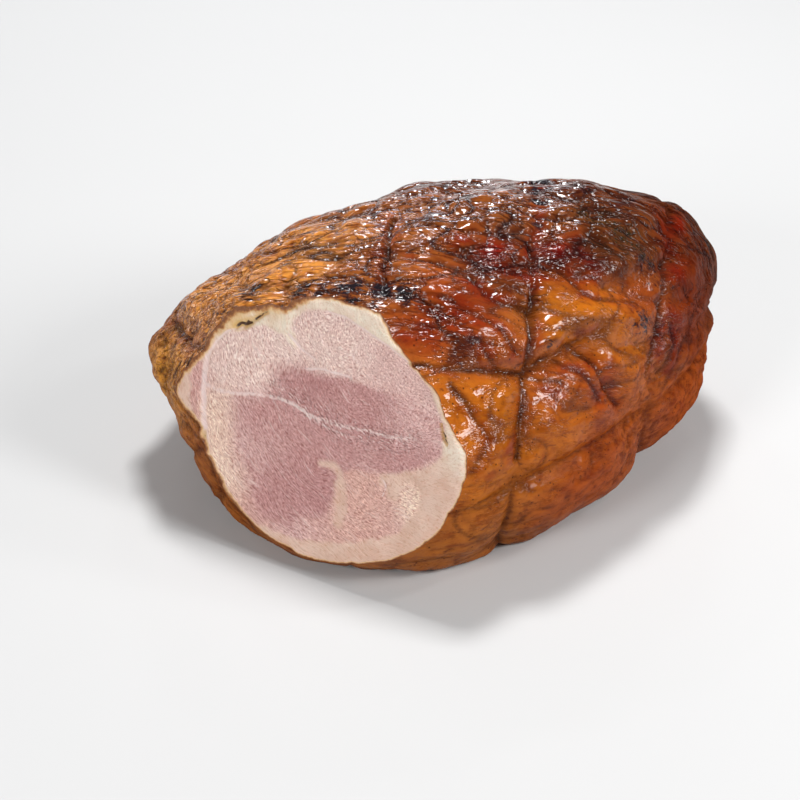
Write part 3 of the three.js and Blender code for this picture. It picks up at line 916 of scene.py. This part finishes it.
class Finish:
    """A material under construction."""

    def __init__(self, name):
        self.material = bpy.data.materials.new(name)
        self.material.use_nodes = True
        self.tree = self.material.node_tree
        self.surface = self.tree.nodes["Principled BSDF"]

    def node(self, kind, feeds, **settings):
        """A new node with its settings, then its inputs by name or number."""
        made = self.tree.nodes.new(kind)
        for key, value in settings.items():
            setattr(made, key, value)
        self.feed(made, feeds)
        return made

    def feed(self, node, feeds):
        for key, value in feeds.items():
            socket = node.inputs[key]
            if isinstance(value, bpy.types.NodeSocket):
                self.tree.links.new(value, socket)
            elif socket.type == "RGBA":
                socket.default_value = (*value[:3], 1)
            else:
                socket.default_value = value

    def field(self, name, output="Fac"):
        return self.node("ShaderNodeAttribute", {}, attribute_name=name).outputs[output]

    def math(self, operation, a, b=0.0):
        return self.node("ShaderNodeMath", {0: a, 1: b}, operation=operation).outputs[0]

    def times(self, a, b):
        return self.math("MULTIPLY", a, b)

    def less(self, a, b):
        return self.math("SUBTRACT", a, b)

    def larger(self, a, b):
        return self.math("MAXIMUM", a, b)

    def first(self, vector):
        """The first of a vector's coordinates."""
        return self.node("ShaderNodeSeparateXYZ", {0: vector}).outputs["X"]

    def stretch(self, vector, scale):
        return self.node("ShaderNodeVectorMath", {0: vector, 1: scale}, operation="MULTIPLY").outputs[0]

    def noise(self, vector, size, detail=2.0, roughness=0.5, distortion=0.0):
        """Noise from 0 to 1. The size is in millimetres, one or three of them."""
        sizes = size if isinstance(size, tuple) else (size, size, size)
        return self.node("ShaderNodeTexNoise", {
            "Vector": self.stretch(vector, tuple(1 / s for s in sizes)),
            "Scale": 1.0, "Detail": detail, "Roughness": roughness, "Distortion": distortion,
        }).outputs["Fac"]

    def folds(self, vector, size):
        """Distance from scattered curving lines, from 0 on a line."""
        return self.math("ABSOLUTE", self.less(self.noise(vector, size, 0, 0.5, 0.9), 0.5))

    def dots(self, vector, size):
        """Distance from the middle of scattered dots, in cell sizes."""
        places = self.stretch(vector, (1 / size,) * 3)
        return self.node("ShaderNodeTexVoronoi", {"Vector": places, "Scale": 1.0}).outputs["Distance"]

    def between(self, value, low, high, start=0.0, end=1.0):
        """A smooth step from start, where the value is low, to end, where it is high."""
        return self.node("ShaderNodeMapRange", {
            "Value": value, "From Min": low, "From Max": high, "To Min": start, "To Max": end,
        }, interpolation_type="SMOOTHSTEP").outputs["Result"]

    def mix(self, factor, a, b, blend="MIX"):
        feeds = {0: factor, 6: a, 7: b}
        return self.node("ShaderNodeMix", feeds, data_type="RGBA", blend_type=blend).outputs[2]

    def tints(self, colour, layers):
        """The colour with its three lights multiplied by each layer's shares."""
        for factor, shares in layers:
            colour = self.mix(factor, colour, shares, "MULTIPLY")
        return colour

    def paints(self, colour, layers):
        """The colour under layers of paint, each in sRGB out of 255."""
        for factor, cover in layers:
            colour = self.mix(factor, colour, linear(cover))
        return colour

    def normal(self, bumps):
        """The normal over a list of heights, each with its rise in millimetres."""
        over = {}
        for height, rise in bumps:
            made = self.node("ShaderNodeBump", {"Height": height, "Distance": rise * MM, **over})
            over = {"Normal": made.outputs["Normal"]}
        return over["Normal"]


def fold_lines(f, drawn, slack, busy):
    """Strength of the broad, fine and finest fold lines."""
    broad = f.between(f.folds(drawn, (18, 5, 5)), 0.11, 0.0)
    fine = f.between(f.folds(drawn, (9, 3.2, 3.2)), 0.11, 0.0)
    finest = f.between(f.folds(drawn, (3.2, 1.1, 1.1)), 0.09, 0.0)
    return (
        f.times(broad, f.between(slack, 0, 1, 0.0, 0.75)),
        f.times(fine, f.times(busy, f.between(slack, 0, 1, 0.2, 0.9))),
        f.times(finest, f.times(busy, f.between(slack, 0, 1, 0.6, 0.3))),
    )


def crust_colour(f, drawn, slack, valley, mottle, lines):
    """The rind's browns with their streaks, glaze, specks, char and herbs, with painted shade in its creases
    and along its fold lines.
    """
    streak = f.between(f.noise(drawn, (9, 2.8, 2.8), 3, 0.55, 1.2), 0.5, 0.3)
    glaze = f.times(f.field("glaze"), f.between(f.noise(drawn, (7, 4, 4), 3), 0.25, 0.5))
    blotch = f.less(f.noise(drawn, (4.5, 2.4, 2.4), 5, 0.65, 0.8), 0.5)
    charred = f.math("ADD", f.field("char"), f.times(blotch, 2.6))
    herb = f.times(f.field("herb"), f.between(f.noise(drawn, (9, 6, 6), 3), 0.35, 0.6))
    leaves = f.between(f.dots(drawn, 1.7), 0.42, 0.28)
    broad, fine, finest = lines
    groove = f.larger(broad, f.larger(fine, f.times(finest, 0.7)))
    colour = f.tints(f.field("tone", "Color"), [
        (f.between(mottle, 0.35, 0.72), (1.25, 1.3, 1.2)),
        (f.between(mottle, 0.5, 0.25), (0.72, 0.55, 0.45)),
        (f.times(streak, f.between(slack, 0, 1, 0.15, 0.5)), (0.5, 0.36, 0.32)),
    ])
    colour = f.paints(colour, [
        (glaze, GLAZE_RED),
        # painted shade in the creases and fold valleys, and the strings' char along their marks
        (valley, CREASE_SHADE_AND_MARK_CHAR),
        (f.between(f.dots(drawn, 3.4), 0.17, 0.08, 0, 0.75), SPECK_BROWN),
        (f.between(charred, 0.1, 0.75, 0, 0.85), CHAR_BROWN),
        (f.between(charred, 0.55, 0.9, 0, 0.95), CHAR_BLACK),
        (f.times(herb, 0.7), HERB_BROWN),
        (f.times(herb, leaves), LEAF_GREEN),
    ])
    # painted shade: the colour is darkened along the broad, fine and finest fold lines, where their grooves
    # lie
    return f.tints(colour, [(groove, (0.4, 0.26, 0.22))])


def crust_normal(f, drawn, slack, busy, lines):
    """The normal over the fold lines and the lumps, swells and ripples between them."""
    calm = f.between(busy, 0, 1, 0.15, 1.0)
    taut = f.between(f.less(1.0, slack), 0, 1, 0.12, 0.8)
    lump = f.noise(drawn, (6, 4, 4), 1, 0.5, 0.5)
    swell = f.less(f.noise(drawn, (7, 3.4, 3.4), 0, 0.5, 1.0), 0.5)
    ripple = f.less(f.noise(drawn, (2.6, 1.3, 1.3), 0, 0.5, 1.2), 0.5)
    broad, fine, finest = lines
    return f.normal([
        (broad, -0.9), (fine, -0.5), (finest, -0.18), (lump, 0.45),
        (f.times(swell, f.times(calm, slack)), 1.0), (f.times(ripple, f.times(calm, taut)), 0.5),
    ])


def crust_finish():
    """Browned rind under a thin wet glaze."""
    f = Finish("crust")
    drawn = f.field("drawn", "Vector")
    slack = f.field("slack")
    valley = f.field("valley")
    mottle = f.noise(drawn, (8, 6, 6), 4, 0.55, 0.8)
    patches = f.noise(drawn, (15, 7, 7), 2, 0.5, 0.6)
    busy = f.larger(f.between(patches, 0.42, 0.6), f.between(valley, 0.1, 0.4))
    lines = fold_lines(f, drawn, slack, busy)
    normal = crust_normal(f, drawn, slack, busy, lines)
    f.feed(f.surface, {
        "Base Color": crust_colour(f, drawn, slack, valley, mottle, lines),
        "Normal": normal,
        "Coat Normal": normal,
        "Roughness": f.between(mottle, 0.3, 0.7, 0.3, 0.5),
        "Coat Weight": f.field("wet"),
        "Coat Roughness": 0.05,
        "Coat IOR": 1.35,
        "Specular IOR Level": 0.0,
        "Subsurface Weight": 0.12,
        "Subsurface Scale": 2.5 * MM,
        "Subsurface Radius": (1.0, 0.35, 0.15),
    })
    return f.material


def meat_colour(f, grain, thread, cloud):
    """Muscle and fat, with their grain and paler threads."""
    colour = f.tints(f.field("tone", "Color"), [
        (f.between(grain, 0.5, 0.66), (1.3, 1.48, 1.48)),
        (f.between(grain, 0.48, 0.34), (0.68, 0.54, 0.52)),
    ])
    colour = f.paints(colour, [(f.between(thread, 0.6, 0.72, 0, 0.42), THREAD_WHITE)])
    colour = f.tints(colour, [(f.between(cloud, 0.35, 0.7, 0, 0.5), (0.9, 0.84, 0.84))])
    suet = f.tints(f.field("suet", "Color"), [
        (f.between(cloud, 0.65, 0.35), (0.93, 0.86, 0.82)),
        (f.between(grain, 0.5, 0.33, 0, 0.8), (0.84, 0.72, 0.64)),
    ])
    return f.mix(f.field("fat"), colour, suet)


def seam_colour(f, colour, plan, moist, flecks, pits):
    """The pale seams, broken up in the moist zone, and its flecks and pits."""
    whole = f.less(1.0, f.times(moist, f.between(f.first(plan), -25, 5)))
    seam = f.between(f.field("seam"), 1.7, 0.5, 0, 0.9)
    return f.paints(colour, [
        (f.times(seam, f.larger(whole, f.between(flecks, 0.42, 0.6))), SEAM_WHITE),
        (f.times(moist, f.between(flecks, 0.58, 0.68, 0, 0.9)), FLECK_WHITE),
        (f.times(pits, 0.75), PIT_ROSE),
    ])


def rim_colour(f, colour, plan):
    """The cracks in the fat, and the rind's brown along the edge."""
    crack = f.field("crack")
    ragged = f.times(f.less(f.noise(plan, 3.0, 4, 0.6), 0.5), 1.3)
    browned = f.math("ADD", f.field("browned"), ragged)
    return f.paints(colour, [
        (f.between(crack, 5.5, 1.0, 0, 0.75), CRACK_OCHRE),
        (f.between(crack, 1.4, 0.7), CRACK_BROWN),
        *((f.between(browned, *limits, 0, strength), brown) for limits, strength, brown in RIM_BROWNS),
    ])


def face_finish():
    """Moist carved meat and fat."""
    f = Finish("carved meat")
    plan = f.field("plan", "Vector")
    fibre = f.field("fibre", "Vector")
    moist = f.field("moist")
    grain = f.noise(fibre, (1.5, 0.8, 1), 2, 0.6, 0.6)
    thread = f.noise(fibre, (13, 1.1, 1), 2, 0.5, 0.4)
    flecks = f.noise(fibre, (2.2, 0.8, 1), 2, 0.6)
    cloud = f.noise(plan, 9, 3, 0.5)
    pits = f.times(f.between(moist, 0.05, 0.8), f.between(flecks, 0.42, 0.33))
    colour = meat_colour(f, grain, thread, cloud)
    colour = seam_colour(f, colour, plan, moist, flecks, pits)
    lean = f.between(f.less(1.0, f.field("fat")), 0, 1, 0.4, 1)
    f.feed(f.surface, {
        "Base Color": rim_colour(f, colour, plan),
        "Normal": f.normal([(thread, 0.3), (f.times(grain, lean), 0.3), (pits, -0.4)]),
        "Roughness": f.between(cloud, 0.3, 0.7, 0.36, 0.5),
        "Specular IOR Level": 0.5,
        "Subsurface Weight": 0.2,
        "Subsurface Scale": 2 * MM,
        "Subsurface Radius": (1.0, 0.4, 0.3),
    })
    return f.material


# ======== assembly ========

def set_field(mesh, name, values):
    """Stores a number, a colour or a vector for each vertex."""
    if values.ndim == 1:
        kind, part = "FLOAT", "value"
    elif name in COLOUR_FIELDS:
        kind, part = "FLOAT_COLOR", "color"
        values = np.column_stack((values, np.ones(len(values))))
    else:
        kind, part = "FLOAT_VECTOR", "vector"
    mesh.attributes.new(name, kind, "POINT").data.foreach_set(part, values.astype(np.float32).ravel())


def joined_mesh(points, triangles, crust_count, edge_count):
    """A smooth mesh of the crust's triangles and then the carved face's, with a sharp edge between."""
    mesh = bpy.data.meshes.new("roast_joint_looks")
    mesh.from_pydata((points + MIDDLE) * MM, [], triangles)
    is_face = np.arange(len(triangles)) >= crust_count
    mesh.polygons.foreach_set("material_index", is_face.astype(np.int32))
    mesh.validate()
    mesh.shade_smooth()
    ends = np.empty(2 * len(mesh.edges), np.int32)
    mesh.edges.foreach_get("vertices", ends)
    on_rim = (ends.reshape(-1, 2) < edge_count).all(axis=1)
    mesh.attributes.new("sharp_edge", "BOOLEAN", "EDGE").data.foreach_set("value", on_rim)
    return mesh


def set_fields(mesh, crust_points, face_points, edge):
    """Stores both finishes' fields. The rim's vertices carry both, and the crust's tone."""
    crust = crust_fields(crust_points)
    face = face_fields(np.vstack((crust_points[edge], face_points)), crust_points[edge])
    crust_tone = crust.pop("tone")
    face_tone = face.pop("tone")
    for name, values in crust.items():
        blank = np.zeros((len(face_points), *values.shape[1:]))
        set_field(mesh, name, np.concatenate((values, blank)))
    for name, values in face.items():
        over = np.zeros((len(crust_points) + len(face_points), *values.shape[1:]))
        over[edge] = values[:len(edge)]
        over[len(crust_points):] = values[len(edge):]
        set_field(mesh, name, over)
    set_field(mesh, "tone", np.concatenate((crust_tone, face_tone[len(edge):])))


def add_object(name, data):
    made = bpy.data.objects.new(name, data)
    bpy.context.collection.objects.link(made)
    return made


def build_roast():
    crust_points, crust_triangles, edge = crust_mesh()
    face_points, face_triangles = face_mesh(crust_points, edge)
    points = np.vstack((crust_points, face_points))
    triangles = np.vstack((crust_triangles, face_triangles))
    mesh = joined_mesh(points, triangles, len(crust_triangles), len(edge))
    set_fields(mesh, crust_points, face_points, edge)
    mesh.materials.append(crust_finish())
    mesh.materials.append(face_finish())
    return add_object("roast_joint_looks", mesh)


def aim(obj, place, right, forward):
    """Stands an object at a place in metres, looking forward."""
    up = np.cross(right, forward)
    turned = Matrix([[*row] for row in np.column_stack((right, up, -forward))]).to_4x4()
    obj.matrix_world = Matrix.Translation(place) @ turned


def add_camera():
    """Stands the camera where the joint's middle falls on its row and column of the picture."""
    up = np.cross(RIGHT, FORWARD)
    focal = LENS / SENSOR * PICTURE_SIDE
    centre = PICTURE_SIDE / 2
    offset = -(MIDDLE_COLUMN - centre) * RIGHT - (centre - MIDDLE_ROW) * up - focal * FORWARD
    data = bpy.data.cameras.new("view")
    data.lens = LENS
    data.sensor_width = SENSOR
    data.clip_end = 20
    camera = add_object("view", data)
    aim(camera, (offset * PIXEL + MIDDLE) * MM, RIGHT, FORWARD)
    bpy.context.scene.camera = camera


def add_light(name, toward, distance, size, watts, colour):
    """A soft box in a direction from the joint, facing it."""
    back = unit(np.array(toward))
    right = unit(np.cross([0, 0, 1], back))
    data = bpy.data.lights.new(name, "AREA")
    data.shape = "RECTANGLE"
    data.size, data.size_y = size
    data.energy = watts
    data.color = colour
    light = add_object(name, data)
    aim(light, BOX_TARGET + distance * back, right, -back)


def add_studio():
    for place, (toward, size, watts) in enumerate(BACK_BOXES):
        add_light("back_box_%d" % (place + 1), toward, BACK_AWAY, size, watts, COOL_WHITE)
    for name, toward, size, watts in FRONT_BOXES:
        add_light(name, toward, FRONT_AWAY, size, watts, WHITE)
    world = bpy.data.worlds.new("studio")
    world.use_nodes = True
    background = world.node_tree.nodes["Background"]
    background.inputs["Color"].default_value = (*COOL_WHITE, 1)
    background.inputs["Strength"].default_value = WORLD_STRENGTH
    bpy.context.scene.world = world


def add_floor():
    bpy.ops.mesh.primitive_plane_add(size=FLOOR_SIDE)
    floor = bpy.context.object
    floor.name = "floor"
    f = Finish("floor")
    f.feed(f.surface, {"Base Color": FLOOR_GREY, "Roughness": 0.9})
    floor.data.materials.append(f.material)


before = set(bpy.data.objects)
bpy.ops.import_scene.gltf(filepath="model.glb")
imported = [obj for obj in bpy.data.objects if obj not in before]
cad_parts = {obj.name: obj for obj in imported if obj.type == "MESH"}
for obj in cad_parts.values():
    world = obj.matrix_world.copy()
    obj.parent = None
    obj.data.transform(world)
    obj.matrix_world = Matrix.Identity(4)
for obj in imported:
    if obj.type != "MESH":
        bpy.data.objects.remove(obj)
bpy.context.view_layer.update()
roast = build_roast()
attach(roast, "root")
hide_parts("roast_joint")
add_floor()
add_studio()
add_camera()
bpy.context.scene.view_settings.view_transform = "Standard"
